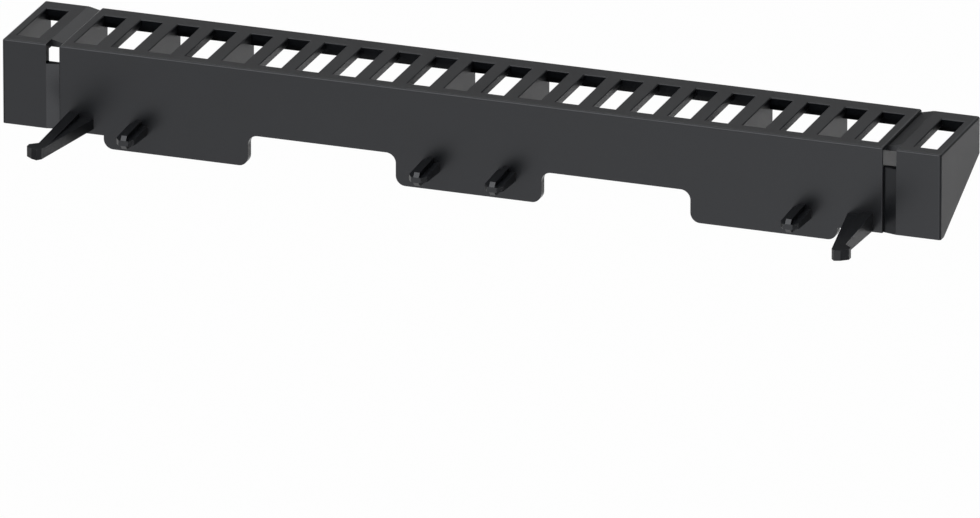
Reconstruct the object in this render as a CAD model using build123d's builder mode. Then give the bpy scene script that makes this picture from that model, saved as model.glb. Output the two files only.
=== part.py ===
from build123d import *
import os

# A horizontal cable manager for a 19 inch rack, moulded in one piece.
# X runs along the bar, -Y points away from its mounting face and Z is up.
# The origin is the middle of the row of pegs, on the mounting face.

# Driving dimensions in millimetres: the bar as a whole
length = 440.0
depth = 53.0
peg_row_drop = 34.9
wall_height = 31.0
front_thickness = 3.9
top_thickness = 3.4
rib_thickness = 2.9
skirt_height = 7.65
skirt_thickness = 3.4
edge_radius = 1.1
sharp_radius = 0.4

# Side outline of the end walls and of the ribs
end_drop = 8.7
rib_back_height = 16.9
rib_foot = 4.6

# Comb slots in the top
slot_pitch = 17.43
slot_width = 10.4
slot_front_rim = 6.9
slot_back_rim = 8.7
end_slot_inset = 9.6
slot_edge_cut = 0.35

# Break-off groove between the comb and each end section
end_section_length = 20.75
groove_width = 6.25
groove_depth = 1.45
notch_drop = 9.2

# Tabs that hang below the front wall
tab_width = 68.3
tab_reach = 6.05
tab_end_gap = 20.95
tab_radius = 4.5
tab_round_share = 0.9

# Pegs: a flat blade with an upright rib through it
peg_inset = 16.4
peg_length = 19.0
blade_width = 8.5
blade_root_height = 4.4
blade_tip_height = 2.4
blade_tip_cut_x = 2.0
blade_tip_cut_y = 2.9
peg_rib_root_width = 2.8
peg_rib_tip_width = 2.5
peg_rib_root_height = 8.4
peg_rib_tip_height = 6.1
peg_rib_cut_z = 1.8
peg_rib_cut_y = 1.6

# Hook arms: a tapered plate with a rib along its outer side and a barb
arm_inset = 4.3
arm_length = 46.0
arm_thickness = 4.85
arm_root_width = 11.9
arm_tip_width = 4.0
arm_rib_width = 4.9
arm_rib_height = 8.4
barb_length = 9.1
barb_depth = 3.5
barb_slope = 2.9

# Blunt nose of an arm: how far back and how far from the outer side its corners lie
nose_peak_inset = 2.3
nose_inner_cut = 1.9
nose_corner_cut = 1.0
nose_corner_reach = 0.4
nose_outer_cut = 3.5

# Heights and half lengths that follow from them, and how far a cut runs past the material
top = peg_row_drop
wall_foot = top - wall_height
end_foot = wall_foot - end_drop
half_length = length / 2
groove_outer = half_length - end_section_length
groove_inner = groove_outer - groove_width
overcut = 5.0

# Outline of an end wall or a rib, as (Y, Z): deep at the front and cut off slantwise to the back
side_outline = [
    (0, end_foot),
    (0, top),
    (depth, top),
    (depth, top - rib_back_height),
    (rib_foot, end_foot),
]

# Outline of the hollow behind the front wall and under the top, open below and behind
skirt_front = depth - skirt_thickness
bay_outline = [
    (front_thickness, end_foot - overcut),
    (front_thickness, top - top_thickness),
    (skirt_front, top - top_thickness),
    (skirt_front, top - skirt_height),
    (depth + overcut, top - skirt_height),
    (depth + overcut, end_foot - overcut),
]

# Places of the tabs, pegs and ribs on the +X half
tab_end = groove_inner - tab_end_gap
tab_start = tab_end - tab_width
outer_tab = (tab_start + tab_end) / 2
gap_middle = (tab_width / 2 + tab_start) / 2
gap_width = tab_start - tab_width / 2
peg_places = [tab_width / 2 - peg_inset, tab_end - peg_inset]
rib_places = [
    round(place / slot_pitch) * slot_pitch
    for place in (peg_places[0], tab_start + peg_inset, peg_places[1])
]
slots_each_side = round((groove_inner - rib_thickness - slot_width / 2) / slot_pitch)
slot_length = depth - slot_front_rim - slot_back_rim
slot_middle = slot_front_rim + slot_length / 2

# Comb section: the long box, open below and behind, with its ribs under the bars of the comb
with BuildPart() as comb_section:
    with BuildSketch(Plane.YZ):
        Polygon(*side_outline, align=None)
    extrude(amount=groove_inner, both=True)
    front_face = comb_section.faces().sort_by(Axis.Y)[0]
    top_face = comb_section.faces().sort_by(Axis.Z)[-1]
    front_top_edge = front_face.edges().sort_by(Axis.Z)[-1:]
    fillet(front_top_edge + top_face.edges().filter_by(Axis.Y), radius=edge_radius)
    step_edges = comb_section.faces().sort_by(Axis.Y)[0].edges().filter_by(Axis.Z)
    back_top_edge = comb_section.faces().sort_by(Axis.Z)[-1].edges().sort_by(Axis.Y)[-1:]
    fillet(step_edges + back_top_edge, radius=sharp_radius)
    walls = [place for rib in rib_places for place in (-rib, rib)]
    walls = sorted(walls + [rib_thickness / 2 - groove_inner, groove_inner - rib_thickness / 2])
    for left, right in zip(walls, walls[1:]):
        with BuildSketch(Plane.YZ.offset(left + rib_thickness / 2)):
            Polygon(*bay_outline, align=None)
        extrude(amount=right - left - rib_thickness, mode=Mode.SUBTRACT)
    with BuildSketch(Plane.XY.offset(top)):
        with Locations((0, slot_middle)):
            with GridLocations(slot_pitch, 1, 2 * slots_each_side, 1):
                Rectangle(slot_width, slot_length)
    extrude(amount=-top_thickness, mode=Mode.SUBTRACT)
    slot_rims = comb_section.faces().sort_by(Axis.Z)[-1].inner_wires()
    chamfer(slot_rims.edges(), length=slot_edge_cut)
    with BuildSketch(Plane.XZ) as wall_gaps:
        with Locations((-gap_middle, wall_foot), (gap_middle, wall_foot)):
            Rectangle(gap_width, end_drop + overcut, align=(Align.CENTER, Align.MAX))
        fillet(wall_gaps.vertices().group_by(Axis.Y)[-1], radius=tab_radius)
    extrude(amount=-front_thickness, mode=Mode.SUBTRACT)
    with BuildSketch(Plane.XZ) as tab_feet:
        with Locations((-outer_tab, end_foot), (0, end_foot), (outer_tab, end_foot)):
            Rectangle(tab_width, tab_reach, align=(Align.CENTER, Align.MAX))
        lower_corners = tab_feet.vertices().group_by(Axis.Y)[0]
        fillet(lower_corners, radius=min(tab_radius, tab_round_share * tab_reach))
    extrude(amount=-front_thickness)

# End section with the thinned groove that joins it to the comb, modelled on the +X side
with BuildPart() as end_section:
    with BuildSketch(Plane.YZ.offset(groove_inner)):
        Polygon(*side_outline, align=None)
    extrude(amount=half_length - groove_inner)
    end_face = end_section.faces().sort_by(Axis.X)[-1]
    front_face = end_section.faces().sort_by(Axis.Y)[0]
    front_top_edge = front_face.edges().sort_by(Axis.Z)[-1:]
    end_front_edge = end_face.edges().filter_by(Axis.Z).sort_by(Axis.Y)[:1]
    end_top_edge = end_face.edges().sort_by(Axis.Z)[-1:]
    fillet(front_top_edge + end_front_edge + end_top_edge, radius=edge_radius)
    fillet(end_section.faces().sort_by(Axis.Z)[-1].edges().sort_by(Axis.Y)[-1], radius=sharp_radius)
    with BuildSketch(Plane.YZ.offset(groove_inner)):
        Polygon(*bay_outline, align=None)
    extrude(amount=half_length - rib_thickness - groove_inner, mode=Mode.SUBTRACT)
    with BuildSketch(Plane.XY.offset(top)):
        with Locations((half_length - end_slot_inset, slot_middle)):
            Rectangle(slot_width, slot_length)
    extrude(amount=-top_thickness, mode=Mode.SUBTRACT)
    slot_rims = end_section.faces().sort_by(Axis.Z)[-1].inner_wires()
    chamfer(slot_rims.edges(), length=slot_edge_cut)
    with BuildSketch(Plane.XZ):
        Polygon(
            (groove_outer, top),
            (groove_inner, top - groove_depth),
            (groove_inner, top),
            align=None,
        )
    extrude(amount=-depth, mode=Mode.SUBTRACT)
    with BuildSketch(Plane.XY.offset(end_foot)):
        Polygon(
            (groove_outer, 0),
            (groove_inner, groove_depth),
            (groove_inner, 0),
            align=None,
        )
    extrude(amount=top - end_foot, mode=Mode.SUBTRACT)
    with BuildSketch(Plane.XY.offset(top)):
        with Locations((groove_inner, 0)):
            Rectangle(groove_width, slot_front_rim, align=Align.MIN)
    extrude(amount=-notch_drop, mode=Mode.SUBTRACT)

# Peg that drops into a hole of the panel that the bar is fixed to
with BuildPart() as peg_blade:
    with BuildSketch(Plane.XZ):
        Rectangle(blade_width, blade_root_height)
    with BuildSketch(Plane.XZ.offset(peg_length)):
        Rectangle(blade_width, blade_tip_height)
    loft()
    blade_tip = peg_blade.faces().sort_by(Axis.Y)[0]
    chamfer(
        blade_tip.edges().filter_by(Axis.Z),
        length=blade_tip_cut_x,
        length2=blade_tip_cut_y,
        reference=blade_tip,
    )

with BuildPart() as peg_rib:
    with BuildSketch(Plane.XZ):
        Rectangle(peg_rib_root_width, peg_rib_root_height)
    with BuildSketch(Plane.XZ.offset(peg_length)):
        Rectangle(peg_rib_tip_width, peg_rib_tip_height)
    loft()
    rib_tip = peg_rib.faces().sort_by(Axis.Y)[0]
    chamfer(
        rib_tip.edges().filter_by(Axis.X),
        length=peg_rib_cut_z,
        length2=peg_rib_cut_y,
        reference=rib_tip,
    )

# Hook arm of the +X end, seen from above as it leaves the mounting face
arm_outer = groove_inner - arm_inset
arm_neck = arm_length - barb_length
with BuildPart() as hook_arm:
    with BuildSketch():
        Polygon(
            (arm_outer - arm_root_width, 0),
            (arm_outer, 0),
            (arm_outer, -arm_neck),
            (arm_outer + barb_depth, -arm_neck - barb_slope),
            (arm_outer + barb_depth, -arm_length + nose_outer_cut),
            (arm_outer + nose_corner_reach, -arm_length + nose_corner_cut),
            (arm_outer - nose_peak_inset, -arm_length),
            (arm_outer - arm_tip_width, -arm_length + nose_inner_cut),
            align=None,
        )
    extrude(amount=arm_thickness / 2, both=True)

with BuildPart() as arm_rib:
    with BuildSketch(Plane.YZ.offset(arm_outer)):
        Polygon(
            (0, -arm_rib_height / 2),
            (0, arm_rib_height / 2),
            (-arm_neck, arm_thickness / 2),
            (-arm_neck, -arm_thickness / 2),
            align=None,
        )
    extrude(amount=-arm_rib_width)

# The whole moulding
with BuildPart() as cable_manager:
    add(comb_section.part)
    for piece in (end_section, hook_arm, arm_rib):
        add(piece.part)
        add(mirror(piece.part, about=Plane.YZ, mode=Mode.PRIVATE))
    with Locations(*[(side * place, 0, 0) for place in peg_places for side in (-1, 1)]):
        add([peg_blade.part, peg_rib.part])

cable_manager.part.label = "cable_manager"
os.makedirs("parts", exist_ok=True)
export_step(cable_manager.part, "parts/cable_manager.step")
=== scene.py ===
import math

import bpy
import numpy as np
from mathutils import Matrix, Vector

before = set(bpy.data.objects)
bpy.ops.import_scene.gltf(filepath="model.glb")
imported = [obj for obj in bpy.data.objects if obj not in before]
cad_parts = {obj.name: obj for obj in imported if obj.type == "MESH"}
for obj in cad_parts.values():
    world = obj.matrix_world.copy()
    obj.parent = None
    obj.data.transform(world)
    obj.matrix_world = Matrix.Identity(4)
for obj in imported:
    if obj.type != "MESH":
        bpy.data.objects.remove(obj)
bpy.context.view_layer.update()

# The bar
# One moulding of black plastic: comb, wall, tabs, end sections, pegs and hook arms in one shot.
# The mould was spark eroded, so the skin has a fine even grain that takes the shine off it.
mm = 0.001
plastic_black = (0.0018, 0.0022, 0.003, 1.0)
plastic_worn = (0.0036, 0.0043, 0.0056, 1.0)
cool_shine = (0.94, 0.955, 1.0, 1.0)
grain_size = 0.35 * mm
grain_detail = 2.0
grain_depth = 0.02 * mm
grain_strength = 0.1
flow_size = 24 * mm
flow_detail = 3.0
satin_roughness = 0.26
flow_roughness = 0.1


class Socket:
    """An output socket in a material's tree, on which + and * add Math nodes."""

    def __init__(self, tree, socket):
        self.tree = tree
        self.socket = socket

    def maths(self, operation, *values):
        return self.tree.node("ShaderNodeMath", {"operation": operation}, *values)["Value"]

    def __add__(self, other):
        return self.maths("ADD", self, other)

    def __radd__(self, other):
        return self.maths("ADD", other, self)

    def __mul__(self, other):
        return self.maths("MULTIPLY", self, other)

    def __rmul__(self, other):
        return self.maths("MULTIPLY", other, self)


class Outputs:
    """The outputs of one node, read by name as Socket objects."""

    def __init__(self, tree, node):
        self.tree = tree
        self.made = node

    def __getitem__(self, name):
        return Socket(self.tree, self.made.outputs[name])


class Tree:
    """A material's node tree, emptied, with one method that adds any node."""

    def __init__(self, name):
        self.material = bpy.data.materials.new(name)
        self.material.use_nodes = True
        self.links = self.material.node_tree.links
        self.nodes = self.material.node_tree.nodes
        self.nodes.clear()

    def node(self, kind, settings, *places, **named):
        """Adds a node: its settings first, then values or links by socket order or by name."""
        made = self.nodes.new(kind)
        for key, value in settings.items():
            setattr(made, key, value)
        by_name = [(key.replace("_", " "), value) for key, value in named.items()]
        for key, value in list(enumerate(places)) + by_name:
            if isinstance(value, Socket):
                self.links.new(value.socket, made.inputs[key])
            else:
                made.inputs[key].default_value = value
        return Outputs(self, made)

    def finish(self, shader):
        """Joins the shader to the material's surface and gives the material."""
        self.node("ShaderNodeOutputMaterial", {}, Surface=shader)
        return self.material


def black_plastic():
    """Black moulded plastic: slow cloudy flow in the colour and the shine, and a fine grain."""
    tree = Tree("black_plastic")
    place = tree.node("ShaderNodeTexCoord", {})["Object"]
    flow = tree.node(
        "ShaderNodeTexNoise", {}, Vector=place, Scale=1 / flow_size, Detail=flow_detail
    )["Fac"]
    grain = tree.node(
        "ShaderNodeTexNoise", {}, Vector=place, Scale=1 / grain_size, Detail=grain_detail
    )["Fac"]
    colour = tree.node(
        "ShaderNodeMix", {"data_type": "RGBA"}, Factor=flow, A=plastic_black, B=plastic_worn
    )["Result"]
    skin = tree.node(
        "ShaderNodeBump", {}, Strength=grain_strength, Distance=grain_depth, Height=grain
    )["Normal"]
    plastic = tree.node(
        "ShaderNodeBsdfPrincipled",
        {},
        Base_Color=colour,
        Roughness=satin_roughness + flow_roughness * flow,
        Specular_Tint=cool_shine,
        Normal=skin,
    )["BSDF"]
    return tree.finish(plastic)


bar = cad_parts["cable_manager"]
bar.data.materials.clear()
bar.data.materials.append(black_plastic())

# The floor and the white room
# A plain pale floor two metres below the bar, which hangs in its mount, in an evenly white room.
# Mirrors and glass would see the same white as the camera does, and the floor keeps its shadow.
floor_drop = 2.0
floor_half = 12.0
floor_pale = (0.85, 0.85, 0.85, 1.0)
white = (1.0, 1.0, 1.0, 1.0)
white_strength = 1.0
plain_share = 0.95


def pale_floor():
    """A pale matt floor, shown to the camera mostly as plain white with a trace of its shadow."""
    tree = Tree("pale_floor")
    ray = tree.node("ShaderNodeLightPath", {})
    seen = ray["Is Camera Ray"] + ray["Is Glossy Ray"] + ray["Is Transmission Ray"]
    matt = tree.node("ShaderNodeBsdfDiffuse", {}, Color=floor_pale)["BSDF"]
    plain = tree.node("ShaderNodeEmission", {}, Color=white, Strength=white_strength)["Emission"]
    mixed = tree.node("ShaderNodeMixShader", {}, seen * plain_share, matt, plain)["Shader"]
    return tree.finish(mixed)


floor = bpy.data.objects.new("floor", bpy.data.meshes.new("floor"))
corners = [(-1, -1), (1, -1), (1, 1), (-1, 1)]
floor.data.from_pydata(
    [(x * floor_half, y * floor_half, -floor_drop) for x, y in corners], [], [(0, 1, 2, 3)]
)
floor.data.materials.append(pale_floor())
bpy.context.scene.collection.objects.link(floor)

room = bpy.data.worlds.new("white_room")
bpy.context.scene.world = room
room.use_nodes = True
room.node_tree.nodes["Background"].inputs["Color"].default_value = white
room.node_tree.nodes["Background"].inputs["Strength"].default_value = white_strength

# The grey screens
# Six curved screens of matt cloth stand in a ring round the bar, so that it mirrors more than
# white. They leave the ring open in front, and low down at the back left.
screen_radius = 4.4
screen_steps = 32
screen_foot = -floor_drop
screen_top = 5.2
bar_level = 0.0
gap_top = 0.8
back_top = 2.0
black_cloth = 0.03
dark_cloth = 0.42
grey_cloth = 0.6
pale_cloth = 0.82

# Bearings in degrees from the front, turning to the right, at which the screens meet
right_start = 42
right_end = 125
low_end = 185
back_end = 204
back_left_end = 225
far_left_end = 290
left_end = 317


def cloth(name, grey):
    """Matt cloth of one even grey."""
    tree = Tree(name)
    matt = tree.node("ShaderNodeBsdfDiffuse", {}, Color=(grey, grey, grey, 1.0))["BSDF"]
    return tree.finish(matt)


def screen(name, start, end, low, high, grey):
    """A sheet bent round the Z axis: each point is the radius times (sine, minus cosine) of its
    bearing from the front, and its height runs straight from low to high."""
    row = screen_steps + 1
    bearing, height = np.meshgrid(np.radians(np.linspace(start, end, row)), np.array([low, high]))
    points = np.stack(
        [screen_radius * np.sin(bearing), -screen_radius * np.cos(bearing), height], axis=-1
    ).reshape(-1, 3)
    first = np.arange(screen_steps)
    faces = np.stack([first, first + 1, first + row + 1, first + row], axis=-1)
    sheet = bpy.data.objects.new(name, bpy.data.meshes.new(name))
    sheet.data.from_pydata(points.tolist(), [], faces.tolist())
    sheet.data.materials.append(cloth(name, grey))
    sheet.visible_camera = False
    bpy.context.scene.collection.objects.link(sheet)


screen("screen_right", right_start, right_end, screen_foot, screen_top, dark_cloth)
screen("screen_low", right_end, low_end, screen_foot, bar_level, pale_cloth)
screen("screen_back", right_end, back_end, bar_level, back_top, black_cloth)
screen("screen_back_left", back_end, back_left_end, gap_top, back_top, black_cloth)
screen("screen_far_left", back_left_end, far_left_end, screen_foot, screen_top, grey_cloth)
screen("screen_left", far_left_end, left_end, screen_foot, screen_top, black_cloth)

# The soft lamps
# Two square softboxes in front of the bar and facing it: one a little below it, for the sheen on
# the front wall, and one high on the left, for the light line along the top's front edge.
lamp_distance = 4.8
low_place = Vector((-0.03, -0.96, -0.25))
low_size = 1.8
low_watts = 17
high_place = Vector((-0.29, -0.62, 0.73))
high_size = 2.4
high_watts = 54


def softbox(name, towards, size, watts):
    """A square area lamp in the direction towards, facing the bar and hidden from the camera."""
    lamp = bpy.data.objects.new(name, bpy.data.lights.new(name, "AREA"))
    lamp.data.shape = "SQUARE"
    lamp.data.size = size
    lamp.data.energy = watts
    lamp.visible_camera = False
    lamp.location = towards.normalized() * lamp_distance
    lamp.rotation_euler = towards.to_track_quat("Z", "Y").to_euler()
    bpy.context.scene.collection.objects.link(lamp)


softbox("softbox_low", low_place, low_size, low_watts)
softbox("softbox_high", high_place, high_size, high_watts)

# The camera
# A very long lens from 20 degrees to the right and 20 degrees above, ten metres away, so that
# edges along the bar stay almost parallel.
azimuth = math.radians(19.88)
elevation = math.radians(20.5)
lens = 848.3
distance = 10.195
far_limit = 100.0
target = Vector((10.0 * mm, 0.3 * mm, -40.25 * mm))
camera = bpy.data.objects.new("camera", bpy.data.cameras.new("camera"))
camera.data.lens = lens
camera.data.clip_end = far_limit
back = Vector((
    math.sin(azimuth) * math.cos(elevation),
    -math.cos(azimuth) * math.cos(elevation),
    math.sin(elevation),
))
camera.location = target + back * distance
camera.rotation_euler = back.to_track_quat("Z", "Y").to_euler()
bpy.context.scene.collection.objects.link(camera)
bpy.context.scene.camera = camera
bpy.context.scene.view_settings.view_transform = "Standard"
